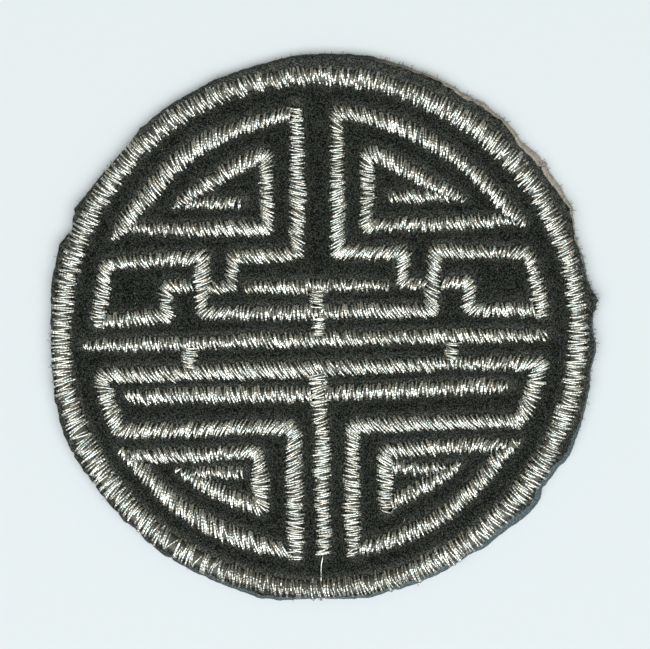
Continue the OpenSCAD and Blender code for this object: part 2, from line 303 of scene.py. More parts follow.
class Arrow(Value):
    """A vector output, on which Python's signs add Vector Math nodes."""

    def vector_math(self, operation, *others):
        inputs = dict(enumerate((self,) + others))
        return self.plan.add("ShaderNodeVectorMath", {"operation": operation}, inputs)

    def __add__(self, other):
        return self.vector_math("ADD", other)

    def __sub__(self, other):
        return self.vector_math("SUBTRACT", other)

    def __mul__(self, other):
        inputs = {0: self, "Scale": other}
        return self.plan.add("ShaderNodeVectorMath", {"operation": "SCALE"}, inputs)

    def dotted(self, other):
        return self.vector_math("DOT_PRODUCT", other).other("Value")


def find_socket(sockets, key):
    """The socket with a number or, among those in use, with a name."""
    if isinstance(key, int):
        return sockets[key]
    return next(socket for socket in sockets if socket.name == key and socket.enabled)


class Plan:
    """A node tree as it is drawn up."""

    def __init__(self, tree):
        self.tree = tree

    def output(self, node, key=0):
        if key == 0:
            socket = next(socket for socket in node.outputs if socket.enabled)
        else:
            socket = find_socket(node.outputs, key)
        return (Arrow if socket.type == "VECTOR" else Value)(self, socket)

    def join(self, value, socket):
        if isinstance(value, Value):
            self.tree.links.new(value.socket, socket)
        else:
            socket.default_value = value

    def add(self, kind, settings=None, sockets=None):
        """Adds a node: its settings first, then the values or links of its sockets."""
        node = self.tree.nodes.new(kind)
        for name, setting in (settings or {}).items():
            setattr(node, name, setting)
        for key, value in (sockets or {}).items():
            self.join(value, find_socket(node.inputs, key))
        return self.output(node)


def geometry_plan(name, inputs):
    """A new Geometry Nodes tree and the values of its named inputs."""
    tree = bpy.data.node_groups.new(name, "GeometryNodeTree")
    tree.interface.new_socket("Geometry", in_out="INPUT", socket_type="NodeSocketGeometry")
    tree.interface.new_socket("Geometry", in_out="OUTPUT", socket_type="NodeSocketGeometry")
    for label, kind in inputs:
        tree.interface.new_socket(label, in_out="INPUT", socket_type=kind)
    plan = Plan(tree)
    entry = tree.nodes.new("NodeGroupInput")
    values = {socket.name: plan.output(entry, socket.name) for socket in entry.outputs if socket.name}
    return plan, values


def finish_geometry(plan, geometry, material):
    """Ends a tree: smooth faces, real geometry, and the material on it."""
    smooth = plan.add("GeometryNodeSetShadeSmooth", None, {"Geometry": geometry})
    real = plan.add("GeometryNodeRealizeInstances", None, {"Geometry": smooth})
    dressed = plan.add("GeometryNodeSetMaterial", None, {"Geometry": real, "Material": material})
    leave = plan.tree.nodes.new("NodeGroupOutput")
    plan.join(dressed, leave.inputs[0])


def worked(name, start_mesh, tree, inputs):
    """A plain mesh object from a Geometry Nodes tree run on a starting mesh."""
    start = bpy.data.objects.new(name, start_mesh)
    bpy.context.scene.collection.objects.link(start)
    modifier = start.modifiers.new("stitching", "NODES")
    modifier.node_group = tree
    for item in tree.interface.items_tree:
        if item.in_out == "INPUT" and item.name in inputs:
            modifier[item.identifier] = inputs[item.name]
    graph = bpy.context.evaluated_depsgraph_get()
    made = bpy.data.meshes.new_from_object(
        start.evaluated_get(graph), preserve_all_data_layers=True, depsgraph=graph)
    start.modifiers.clear()
    start.data = made
    made.name = name
    return start


def random_number(plan, lowest, highest, number, seed):
    return plan.add(
        "FunctionNodeRandomValue", {"data_type": "FLOAT"},
        {"Min": lowest, "Max": highest, "ID": number, "Seed": seed})


def named_value(plan, name):
    """What the mesh carries under a name."""
    return plan.add("GeometryNodeInputNamedAttribute", {"data_type": "FLOAT"}, {"Name": name})


def marked(plan, geometry, name, value):
    """A geometry that carries a value under a name at its points."""
    return plan.add(
        "GeometryNodeStoreNamedAttribute", {"data_type": "FLOAT", "domain": "POINT"},
        {"Geometry": geometry, "Name": name, "Value": value})


def circle(plan, sides, radius):
    return plan.add(
        "GeometryNodeCurvePrimitiveCircle", {"mode": "RADIUS"}, {"Resolution": sides, "Radius": radius})


# Runs of satin stitches


def ring_rows():
    """The border ring's chart as rows of x, y and width."""
    parts = 4
    rows = []
    for (bearing, radius, width), (next_bearing, next_radius, next_width) in zip(ring_chart, ring_chart[1:]):
        for part in range(parts):
            share = part / parts
            angle = math.radians(bearing + (next_bearing - bearing) * share)
            reach = radius + (next_radius - radius) * share
            wide = width + (next_width - width) * share
            rows.append((ring_hub_x + reach * math.cos(angle), ring_hub_y + reach * math.sin(angle), wide))
    return rows


def turned_corner(before, spot, after, half, bend):
    """The points of a corner's bend, its stitches laid along the mitre: (place, half width, slant)."""
    into = (spot - before).normalized()
    out = (after - spot).normalized()
    turn = into.angle(out)
    side = 1 if left_of(into).dot(out) > 0 else -1
    start = spot - into * bend * math.tan(turn / 2)
    hub = start + left_of(into) * bend * side
    mitre = mitre_share * side * min(math.degrees(turn), sharpest_mitre) / 2
    parts = 8
    points = []
    for part in range(parts + 1):
        swing = Matrix.Rotation(side * turn * part / parts, 3, "Z")
        points.append((hub + swing @ (start - hub), half, mitre * (1 - 2 * part / parts)))
    return points


def stretches_of(rows, reaches):
    """An open run's middle line, lengthened at its ends, as stretches of (place, half width, slant or None).

    Where one arm of a corner runs through to the outer edge, the other ends at its side and a stretch begins.
    """
    shoulder = 0.4
    corner_width = 0.8
    butt = 0.8
    butt_width = 0.9
    spots = [charted(row[0], row[1]) for row in rows]
    spots[0] = spots[0] - (spots[1] - spots[0]).normalized() * reaches[0]
    spots[-1] = spots[-1] + (spots[-1] - spots[-2]).normalized() * reaches[1]
    halves = [row[2] * chart_step / 2 for row in rows]
    stretches = [[(spots[0], halves[0], None)]]
    for i in range(1, len(rows) - 1):
        spot = spots[i]
        half = halves[i]
        if len(rows[i]) == 3:
            stretches[-1].append((spot, half, None))
        elif len(rows[i]) == 4:
            bend = rows[i][3] * chart_step
            stretches[-1] += turned_corner(spots[i - 1], spot, spots[i + 1], half, bend)
        else:
            into = (spot - spots[i - 1]).normalized()
            out = (spots[i + 1] - spot).normalized()
            if rows[i][4] == "in":
                stretches[-1].append((spot + into * half * shoulder, half, None))
                stretches[-1].append((spot + into * half, half * corner_width, None))
                stretches.append([(spot + out * half * butt, half * butt_width, None)])
            else:
                stretches[-1].append((spot - into * half * butt, half * butt_width, None))
                stretches.append([(spot - out * half, half * corner_width, None)])
                stretches[-1].append((spot - out * half * shoulder, half, None))
    stretches[-1].append((spots[-1], halves[-1], None))
    return stretches


def part_length(point, next_point):
    """Length as it counts for the passes, which lie closer in bends and slightly so in upright columns."""
    way = next_point[0] - point[0]
    crowding = upright_crowding if abs(way.x) < upright_lean * way.length else 1.0
    if None not in (point[2], next_point[2]):
        crowding = bend_crowding
    return way.length * crowding


def line_length(line):
    return sum(part_length(point, next_point) for point, next_point in zip(line, line[1:]))


class Run:
    """A run of stitches as dots set evenly along its middle line."""

    def __init__(self, name, reaches=(0.0, 0.0)):
        self.name = name
        self.closed = name == "border_ring"
        if self.closed:
            line = [(charted(x, y), width * chart_step / 2, None) for x, y, width in ring_rows()]
            line.append(line[0])
            stretches = [line]
        else:
            stretches = stretches_of(runs[name], reaches)
        self.set_dots(stretches)
        self.set_ways()
        self.set_slants()
        self.set_gaps()

    def set_dots(self, stretches):
        self.length = sum(line_length(line) for line in stretches)
        self.apart = self.length / round(self.length / dots_apart)
        self.places = []
        self.halves = []
        self.ends = []
        self.corner_marks = []
        done = 0.0
        for line in stretches:
            first = len(self.places)
            for point, next_point in zip(line, line[1:]):
                length = part_length(point, next_point)
                if point[2] is not None:
                    self.corner_marks.append((round(done / self.apart), point[2]))
                while len(self.places) * self.apart < done + length:
                    share = (len(self.places) * self.apart - done) / length
                    self.places.append(point[0].lerp(next_point[0], share) + chart_step * stitches_up)
                    self.halves.append(point[1] + (next_point[1] - point[1]) * share)
                done += length
            self.ends.append((first, len(self.places) - 1))

    def dot(self, number, own):
        """The number of a dot, wrapped round the ring or held within the stretch of another dot."""
        if self.closed:
            return number % len(self.places)
        for first, last in self.ends:
            if first <= own <= last:
                return max(first, min(last, number))
        return own

    def set_ways(self):
        reach = 3
        self.ways = []
        for number in range(len(self.places)):
            before = self.places[self.dot(number - reach, number)]
            after = self.places[self.dot(number + reach, number)]
            self.ways.append((after - before).normalized())

    def nearest(self, place):
        return min(range(len(self.places)), key=lambda number: (self.places[number] - place).length_squared)

    def set_slants(self):
        """Slant at every dot, from the chart of slants and the mitres of the corners."""
        marks = [(self.nearest(charted(x, y)), slant) for x, y, slant in slants.get(self.name, [])]
        marks = sorted(marks + self.corner_marks)
        self.slants = []
        for first, last in self.ends:
            own = [mark for mark in marks if first <= mark[0] <= last] or [(first, 0)]
            if self.closed:
                count = len(self.places)
                own = [(own[-1][0] - count, own[-1][1])] + own + [(own[0][0] + count, own[0][1])]
            else:
                own = [(first - 1, own[0][1])] + own + [(last + 1, own[-1][1])]
            part = 0
            for number in range(first, last + 1):
                while part < len(own) - 2 and own[part + 1][0] < number:
                    part += 1
                (low, low_slant), (high, high_slant) = own[part], own[part + 1]
                share = eased((number - low) / max(high - low, 1))
                self.slants.append(low_slant + (high_slant - low_slant) * share)

    def end(self, last):
        """The place of the run's first or last dot and the way out of the run there."""
        if last:
            return self.places[-1], self.ways[-1]
        return self.places[0], -self.ways[0]

    def rise(self, number):
        return column_rise * min(1.0, 2 * self.halves[number] / full_rise_width)

    def set_gaps(self):
        """Push the dots of the ring apart where its passes part."""
        if not self.closed:
            return
        loose = 9 * chart_step
        pushes = [0.0] * len(self.places)
        for x, y, gap in ring_partings:
            gap_dot = self.nearest(charted(x, y))
            for number in range(len(self.places)):
                away = (number - gap_dot) * self.apart
                if abs(away) < loose:
                    nearness = 1 - eased(abs(away) / loose)
                    pushes[number] += math.copysign(gap * chart_step / 2, away) * nearness
        self.places = [place + way * push for place, way, push in zip(self.places, self.ways, pushes)]

    def reach(self, number):
        """From the middle line to the left end of a stitch."""
        half = self.halves[number]
        way = self.ways[number]
        return left_of(way) * half - way * math.tan(math.radians(self.slants[number])) * half

    def bow(self, number):
        """How far the crest of a stitch stands off the straight line between its ends, along the run."""
        way = self.ways[number]
        return way * (crest_lean.dot(way) + (ring_bow if self.closed else 0.0))

    def guide_mesh(self):
        """The dots as a mesh that carries what the stitching reads at each of them."""
        mesh = bpy.data.meshes.new(self.name + "_guide")
        mesh.from_pydata(self.places, [], [])
        for name, kind in (("reach", "FLOAT_VECTOR"), ("bow", "FLOAT_VECTOR"), ("rise", "FLOAT")):
            mesh.attributes.new(name, kind, "POINT")
        reach = mesh.attributes["reach"].data
        bow = mesh.attributes["bow"].data
        rise = mesh.attributes["rise"].data
        for number in range(len(self.places)):
            reach[number].vector = self.reach(number)
            bow[number].vector = self.bow(number)
            rise[number].value = self.rise(number)
        return mesh


satin_counts = ("Passes", "Points a Pass", "Dots", "Thread Sides", "Seed")
satin_sizes = (
    "Pass Pitch", "Dots Apart", "Closed", "Hole Level", "Shoulder Level", "Face Level", "Rise Share",
    "Width Share", "Thread Radius", "Thread Flatness", "Edge Wander", "Along Wander", "Pass Shift",
    "Crest Wander", "Return Drop", "Dome Power", "Skew", "Bow")
satin_inputs = [(name, "NodeSocketInt") for name in satin_counts]
satin_inputs += [(name, "NodeSocketFloat") for name in satin_sizes]
satin_inputs.append(("Finish", "NodeSocketMaterial"))


def sampled(plan, guide, name, kind, index):
    """What the guide's dots carry under a name, at a dot."""
    if name == "position":
        field = plan.add("GeometryNodeInputPosition")
    else:
        field = plan.add("GeometryNodeInputNamedAttribute", {"data_type": kind}, {"Name": name})
    return plan.add(
        "GeometryNodeSampleIndex", {"data_type": kind, "domain": "POINT"},
        {"Geometry": guide, "Value": field, "Index": index})


def own_wander(plan, given, name, number, seed_step):
    """A random number for one pass or hole, up to a named input to either side of nothing."""
    return random_number(plan, given[name] * -1, given[name], number, given["Seed"] + seed_step)


def dot_index(given, along):
    """The dot at a length along the run: wrapped round a closed run, held at the ends of an open one."""
    raw = (along / given["Dots Apart"]).math("ROUND")
    wrapped = raw - given["Dots"] * (raw / given["Dots"]).math("FLOOR")
    held = raw.kept(0.0, given["Dots"] - 1)
    return wrapped * given["Closed"] + held * (1 - given["Closed"])


def needle_hole(plan, given, number):
    """The place and column height at one needle hole of the zigzag."""
    turns = (number / given["Passes"]).math("FLOOR") * given["Closed"]
    own = number - turns * given["Passes"]
    side = 1 - 2 * own.math("MODULO", 2.0)
    wander = own_wander(plan, given, "Along Wander", own, 1)
    along = (number + side * 0.5) * given["Pass Pitch"] + wander
    index = dot_index(given, along)
    spot = sampled(plan, given["Geometry"], "position", "FLOAT_VECTOR", index)
    reach = sampled(plan, given["Geometry"], "reach", "FLOAT_VECTOR", index)
    rise = sampled(plan, given["Geometry"], "rise", "FLOAT", index)
    loose = own_wander(plan, given, "Edge Wander", own, 2)
    unit = reach.vector_math("NORMALIZE")
    return spot + reach * (side * given["Width Share"]) + unit * (side * loose), rise


def own_shift(plan, given, number, seed_step):
    """How far one pass lies to the side of the hole that it shares with its neighbour."""
    loose = given["Pass Shift"]
    lowest = plan.add("ShaderNodeCombineXYZ", None, {"X": loose * -1, "Y": loose * -1})
    highest = plan.add("ShaderNodeCombineXYZ", None, {"X": loose, "Y": loose})
    return plan.add(
        "FunctionNodeRandomValue", {"data_type": "FLOAT_VECTOR"},
        {"Min": lowest, "Max": highest, "ID": number, "Seed": given["Seed"] + seed_step})


def satin_tree():
    """Tree of a satin column: one thread laid to and fro over the dots of a run."""
    plan, given = geometry_plan("satin column", satin_inputs)
    points = given["Points a Pass"]
    count = given["Passes"] * points + 1
    rounding = 0.01
    index = plan.add("GeometryNodeInputIndex")
    number = ((index + rounding) / points).math("FLOOR")
    share = index / points - number
    swing = (share * math.pi).math("COSINE")

    start, start_rise = needle_hole(plan, given, number)
    end, end_rise = needle_hole(plan, given, number + 1)
    start = start + own_shift(plan, given, number, 7)
    end = end + own_shift(plan, given, number, 8)
    covered = (1 - swing) * 0.5
    span = end - start
    flat = start + span * covered

    skew = own_wander(plan, given, "Skew", number, 3)
    middle = 1 - swing * swing
    from_crest = (swing + skew * middle).math("ABSOLUTE").math("MINIMUM", 1.0)
    dome = (1 - from_crest ** 2.0).math("MAXIMUM", 0.0) ** given["Dome Power"]
    lowest = 1 - given["Crest Wander"]
    highest = 1 + given["Crest Wander"] * 0.4
    wander = random_number(plan, lowest, highest, number, given["Seed"] + 4)
    is_return = number.math("MODULO", 2.0)
    rise = (start_rise * (1 - covered) + end_rise * covered) * given["Rise Share"] * wander
    rise = rise - is_return * given["Return Drop"]
    arch = given["Shoulder Level"] + (given["Face Level"] + rise - given["Shoulder Level"]) * dome
    in_hole = share.math("LESS_THAN", rounding)
    level = arch + (given["Hole Level"] - arch) * in_hole

    halfway = dot_index(given, (number + 0.5) * given["Pass Pitch"])
    own_bow = sampled(plan, given["Geometry"], "bow", "FLOAT_VECTOR", halfway)
    loose_bow = own_wander(plan, given, "Bow", number, 5)
    parts = plan.add("ShaderNodeSeparateXYZ", None, {0: span})
    sideways = plan.add("ShaderNodeCombineXYZ", None, {"X": parts.other("Y") * -1, "Y": parts})
    bowed = flat + (own_bow + sideways.vector_math("NORMALIZE") * loose_bow) * middle
    lift = plan.add("ShaderNodeCombineXYZ", None, {"Z": level})

    line = plan.add(
        "GeometryNodeMeshLine", {"mode": "OFFSET", "count_mode": "TOTAL"}, {"Count": count})
    laid = plan.add("GeometryNodeSetPosition", None, {"Geometry": line, "Position": bowed + lift})
    # The return passes lie lower and are painted a little duller, as painted shade.
    return_painted_shade = 0.12
    tone = random_number(plan, 0.0, 1 - return_painted_shade, number, given["Seed"] + 6) + is_return * return_painted_shade
    thread = plan.add("GeometryNodeMeshToCurve", None, {"Mesh": marked(plan, laid, "tone", tone)})
    thread = plan.add("GeometryNodeSetCurveNormal", {"mode": "Z_UP"}, {"Curve": thread})
    hole_thinning = 0.3
    drawn_in = 1 - swing.math("ABSOLUTE") ** 4.0 * hole_thinning
    thread = plan.add("GeometryNodeSetCurveRadius", None, {"Curve": thread, "Radius": drawn_in})
    run_length = plan.add("GeometryNodeSplineParameter").other("Length")
    measured = marked(plan, thread, "laid", run_length)
    oval = plan.add("ShaderNodeCombineXYZ", None, {"X": 1.0, "Y": given["Thread Flatness"], "Z": 1.0})
    profile = circle(plan, given["Thread Sides"], given["Thread Radius"])
    pressed = plan.add("GeometryNodeTransform", None, {"Geometry": profile, "Scale": oval})
    tube = plan.add(
        "GeometryNodeCurveToMesh", None, {"Curve": measured, "Profile Curve": pressed, "Fill Caps": True})
    finish_geometry(plan, tube, given["Finish"])
    return plan.tree


def laid_thread(run, label, pitch, tree, settings):
    """A thread laid along a run, as a plain mesh."""
    passes = max(2, 2 * round(run.length / pitch / 2))
    lengths = {
        "Passes": passes,
        "Pass Pitch": run.length / passes,
        "Dots": len(run.places),
        "Dots Apart": run.apart,
        "Closed": 1.0 if run.closed else 0.0,
    }
    return worked(run.name + label, run.guide_mesh(), tree, {**lengths, **settings})


def column_thread(run, tree, finish, seed):
    """The metallic thread of one column."""
    pitch = short_pass_pitch if run.length < short_run else pass_pitch
    return laid_thread(run, "_thread", pitch, tree, {
        "Points a Pass": 10,
        "Hole Level": felt_top - needle_depth,
        "Shoulder Level": felt_top - 0.06 * millimetre,
        "Face Level": felt_top - thread_thickness / 2,
        "Rise Share": 1.0,
        "Width Share": 1.11 if run.closed else 1.17,
        "Thread Radius": thread_thickness / 2,
        "Thread Flatness": 0.55,
        "Thread Sides": 6,
        "Edge Wander": (0.28 if run.closed else 0.19) * millimetre,
        "Along Wander": 0.15 * millimetre,
        "Pass Shift": 0.085 * millimetre,
        "Crest Wander": 0.18,
        "Return Drop": 0.035 * millimetre,
        "Dome Power": 1.1 if run.closed else 0.8,
        "Skew": 0.45,
        "Bow": 0.10 * millimetre,
        "Seed": seed,
        "Finish": finish,
    })


def bobbin_rows(all_runs, tree, finish):
    """The bobbin thread on the back, under every column, as one mesh."""
    level = bobbin_thickness * 0.52
    pieces = []
    for number, run in enumerate(all_runs):
        pieces.append(laid_thread(run, "_bobbin", pass_pitch, tree, {
            "Points a Pass": 3,
            "Hole Level": back_hollow + bobbin_thickness,
            "Shoulder Level": level,
            "Face Level": level,
            "Rise Share": 0.0,
            "Width Share": 0.62,
            "Thread Radius": bobbin_thickness / 2,
            "Thread Flatness": 1.0,
            "Thread Sides": 4,
            "Edge Wander": 0.12 * millimetre,
            "Along Wander": 0.05 * millimetre,
            "Pass Shift": 0.03 * millimetre,
            "Crest Wander": 0.0,
            "Return Drop": 0.0,
            "Dome Power": 0.8,
            "Skew": 0.1,
            "Bow": 0.03 * millimetre,
            "Seed": 400 + 10 * number,
            "Finish": finish,
        }))
    return joined("bobbin_rows", pieces)


def joined(name, pieces):
    """Several objects made one mesh."""
    with bpy.context.temp_override(
            active_object=pieces[0], selected_objects=pieces, selected_editable_objects=pieces):
        bpy.ops.object.join()
    pieces[0].name = name
    pieces[0].data.name = name
    return pieces[0]


def new_piece(name, points, faces, finish, smooth=True):
    mesh = bpy.data.meshes.new(name)
    mesh.from_pydata(points, [], faces)
    mesh.validate()
    mesh.materials.append(finish)
    mesh.polygons.foreach_set("use_smooth", [smooth] * len(mesh.polygons))
    piece = bpy.data.objects.new(name, mesh)
    bpy.context.scene.collection.objects.link(piece)
    return piece


def band_faces(first, rings, sides, closed=False, flipped=False):
    """The faces between rings of points that follow one another, from a first point on."""
    faces = []
    for i in range(rings if closed else rings - 1):
        for j in range(sides):
            a = first + i * sides + j
            b = first + (i + 1) % rings * sides + j
            c = first + (i + 1) % rings * sides + (j + 1) % sides
            d = first + i * sides + (j + 1) % sides
            faces.append((a, d, c, b) if flipped else (a, b, c, d))
    return faces


def padding(all_runs, finish):
    """The padding cords under the stitches: one low dome along each run, closed at its ends."""
    steps = (-1.0, -0.86, -0.55, 0.0, 0.55, 0.86, 1.0)
    sides = len(steps)
    thinner = 0.13 * millimetre
    share = 0.88
    stride = 9
    points = []
    faces = []
    for run in all_runs:
        numbers = list(range(0, len(run.places), stride))
        if not run.closed:
            numbers = [n for n in numbers if stride < n < len(run.places) - stride]
        first = len(points)
        for number in numbers:
            reach = run.reach(number) * share
            for w in steps:
                dome = (1 - abs(w) ** 2.5) ** 0.55
                height = felt_top - thinner + (run.rise(number) - thinner) * dome
                points.append(run.places[number] + reach * w + Vector((0, 0, height)))
        rings = len(numbers)
        faces += band_faces(first, rings, sides, closed=run.closed)
        if not run.closed:
            faces.append(tuple(first + j for j in reversed(range(sides))))
            faces.append(tuple(first + (rings - 1) * sides + j for j in range(sides)))
    return new_piece("padding", points, faces, finish)


# Loose bits: a thread left loose and lint on the felt


def strand(name, places, radius, finish):
    """A thin round strand through a few places, as a closed tube that thins at its ends."""
    sides = 6
    end_share = 0.6
    points = []
    for i, place in enumerate(places):
        way = (places[min(i + 1, len(places) - 1)] - places[max(i - 1, 0)]).normalized()
        aside = left_of(way).normalized()
        over = way.cross(aside)
        thick = radius * (end_share if i in (0, len(places) - 1) else 1.0)
        for j in range(sides):
            turn = 2 * math.pi * j / sides
            points.append(place + (aside * math.cos(turn) + over * math.sin(turn)) * thick)
    faces = band_faces(0, len(places), sides, flipped=True)
    faces.append(tuple(reversed(range(sides))))
    faces.append(tuple((len(places) - 1) * sides + j for j in range(sides)))
    return new_piece(name, points, faces, finish)


def loose_thread(finish):
    """The thread carried from the foot of the centre stem to the ring."""
    above = felt_top + 0.06 * millimetre
    wave = 0.04 * millimetre
    wave_turn = 1.9
    last_rise = 0.12 * millimetre
    radius = 0.085 * millimetre
    stops = [(323, 552), (322.6, 558), (321.4, 564), (321.0, 571), (321.2, 577), (321.0, 583)]
    places = [charted(x, y, above + wave * math.sin(i * wave_turn)) for i, (x, y) in enumerate(stops)]
    places[-1].z += last_rise
    return strand("loose_thread", places, radius, finish)


def lint(finder, finish):
    """Pale specks and short fibres on the felt: the four that stand out and a sprinkle of smaller ones."""
    dice = Random(11)
    large_radius = 0.035 * millimetre
    least_bare = 2.5 * chart_step
    furthest_out = 0.45 * felt_width
    large_bits = ((363, 333, 2.6), (369, 388, 2.2), (416, 379, 2.2), (404, 520, 5.0))
    bits = [(charted(x, y), long * chart_step, large_radius) for x, y, long in large_bits]
    while len(bits) < lint_bits:
        place = charted(dice.uniform(70, 575), dice.uniform(70, 585))
        if bare_distance(place, finder) > least_bare and place.length < furthest_out:
            long = dice.uniform(0.5, 1.8) * chart_step
            radius = dice.uniform(0.012, 0.024) * millimetre
            bits.append((place, long, radius))
    pieces = []
    for number, (place, long, radius) in enumerate(bits):
        turn = dice.uniform(0, math.pi)
        way = Vector((math.cos(turn), math.sin(turn), 0))
        bend = left_of(way) * long * dice.uniform(-0.2, 0.2)
        level = Vector((0, 0, face_level(place, finder) + 0.05 * millimetre))
        places = [place - way * long / 2 + level, place + bend + level, place + way * long / 2 + level]
        pieces.append(strand("lint_bit_" + str(number), places, radius, finish))
    return joined("lint", pieces)


# The felt


def outline_reach(angle):
    """How far the charted outline lies from the felt's middle on a bearing."""
    way = Vector((math.cos(angle), math.sin(angle), 0))
    for (x, y), (next_x, next_y) in zip(felt_outline, felt_outline[1:] + felt_outline[:1]):
        a = charted(x, y)
        b = charted(next_x, next_y)
        across = way.x * (b.y - a.y) - way.y * (b.x - a.x)
        if abs(across) < 1e-12:
            continue
        reach = (a.x * (b.y - a.y) - a.y * (b.x - a.x)) / across
        share = (a.x * way.y - a.y * way.x) / across
        if reach > 0 and -1e-9 <= share <= 1 + 1e-9:
            return reach
    raise ValueError("the felt's outline has a hole in it")


def reach_to_neighbour(place, way, own_name, all_runs):
    """How far an end is worked on so that it meets the column it faces, or nothing where it faces none."""
    furthest = 7 * chart_step
    overlap = 1.5 * chart_step
    every = 3
    near = [
        (run.places[n], run.halves[n]) for run in all_runs if run.name != own_name
        for n in range(0, len(run.places), every) if (run.places[n] - place).length < 2 * millimetre]
    step = 0.5 * chart_step
    reach = 0.0
    while reach < furthest:
        spot = place + way * reach
        if any((spot - other).length < half for other, half in near):
            return reach + overlap
        reach += step
    return 0.0


def finished_runs():
    """Every run, its ends worked on as far as the columns that they face."""
    first = [Run(name) for name in ["border_ring"] + list(runs)]
    finished = [first[0]]
    for run in first[1:]:
        reaches = []
        for last in (False, True):
            place, way = run.end(last)
            blunt = run.halves[-1 if last else 0] > blunt_half_width
            reaches.append(reach_to_neighbour(place, way, run.name, first) if blunt else 0.0)
        finished.append(Run(run.name, reaches))
    return finished


def column_finder(all_runs):
    """A search tree of the columns' dots, with the half width at each."""
    every = 5
    entries = [(run.places[n], run.halves[n]) for run in all_runs for n in range(0, len(run.places), every)]
    tree = kdtree.KDTree(len(entries))
    for number, (place, half) in enumerate(entries):
        tree.insert(place, number)
    tree.balance()
    return tree, [half for place, half in entries]


def bare_distance(place, finder):
    """Distance on the felt from the nearest column's edge, less than nothing beneath a column."""
    tree, halves = finder
    found, number, distance = tree.find(place)
    return distance - halves[number]


def fluff_and_light_share(place, finder):
    """How much pale fluff the needle has drawn up beside a column, with painted light on the felt's slope above
    it that faces the lamp: most above it, least below.
    """
    least = 0.34
    tree, halves = finder
    found, number, distance = tree.find(place)
    aside = (place - found).normalized()
    return least + (1 - least) * max(0.0, aside.y + 0.25 * aside.x)


def outside_share(place):
    """How worn and pale the narrow margin outside the border ring is."""
    margin_start = 262 * chart_step
    margin_fade = 4 * chart_step
    grain = 1400
    hub = charted(ring_hub_x, ring_hub_y)
    beyond = ((place - hub).length - margin_start) / margin_fade
    return eased(beyond) * (0.30 + 0.40 * noise.noise(place * grain))


def face_level(place, finder):
    """Height of the felt's face: drawn down by the needle holes, so that it swells between the columns."""
    unevenness = 0.03 * millimetre
    even_margin = 0.4 * millimetre
    grain = 900
    bare = bare_distance(place, finder)
    pulled = felt_pull * (1 - eased(bare / felt_swell_width) ** 0.8)
    swell = unevenness * noise.noise(place * grain) * eased(bare / even_margin)
    return felt_top - pulled + swell


def hump(angle, bearing, spread):
    """One at a bearing in degrees, falling to nothing at a spread to either side."""
    away = (math.degrees(angle) - bearing + 180) % 360 - 180
    return eased(1 - abs(away) / spread)


def humps(angle, rows):
    return sum(size * hump(angle, bearing, spread) for size, bearing, spread in rows)


def lip(angle):
    """How far the cut edge slopes out past the outline: most at the upper right, where it carries the tan
    painted shadow, less round the foot.
    """
    return humps(angle, lip_humps) * millimetre


def cut_width(angle):
    """Width of the cut edge from above: widest at the lower right and on a short stretch at the upper right,
    where it carries the tan painted shadow.
    """
    return (least_cut_width + humps(angle, cut_width_humps)) * millimetre


def nick_depth(angle):
    depth = 0.0
    for x, y, deep, wide in edge_nicks:
        place = charted(x, y)
        away = (angle - math.atan2(place.y, place.x) + math.pi) % (2 * math.pi) - math.pi
        depth += deep * max(0.0, 1 - abs(away) * place.length / (wide * chart_step / 2))
    return depth * chart_step


def ragged(angle, seed, fineness):
    """Uneven cut of the edge on a bearing, about from -1 to 1."""
    place = Vector((math.cos(angle) * fineness, math.sin(angle) * fineness, seed))
    return noise.fractal(place, 0.8, 2.1, 4)


